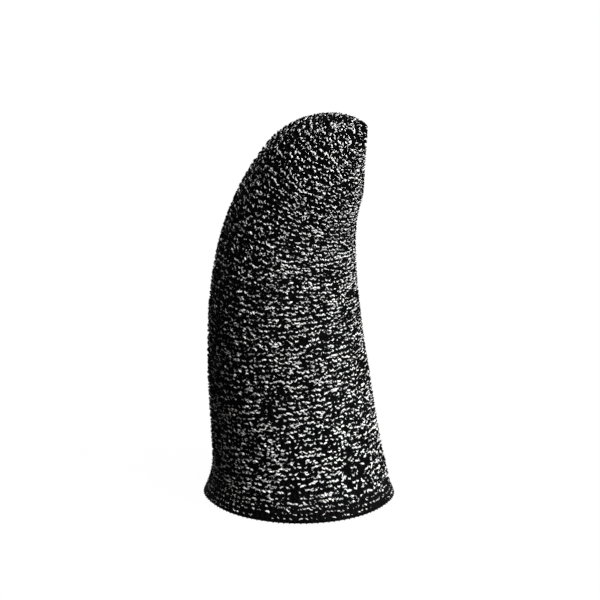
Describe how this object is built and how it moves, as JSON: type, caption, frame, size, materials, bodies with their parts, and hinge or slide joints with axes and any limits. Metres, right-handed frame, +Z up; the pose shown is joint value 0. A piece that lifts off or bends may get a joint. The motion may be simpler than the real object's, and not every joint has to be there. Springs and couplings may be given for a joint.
{
  "type": "gaming finger sleeve",
  "caption": "Seamless knitted finger sleeve of black and silver yarn, curved like a bent finger, with a closed tip and a turned hem.",
  "frame": {"origin": "centre of the mouth, on the surface that the sleeve stands on", "axes": "+Z up along the finger from the mouth, +X the way that the fingertip bends, towards the finger pad, +Y across the finger"},
  "size_m": [0.0198, 0.019, 0.0418],
  "materials": {
    "knit": "black knit with silver fibre glints"
  },
  "bodies": {
    "root": {"sleeve": "knit"}
  },
  "joints": []
}
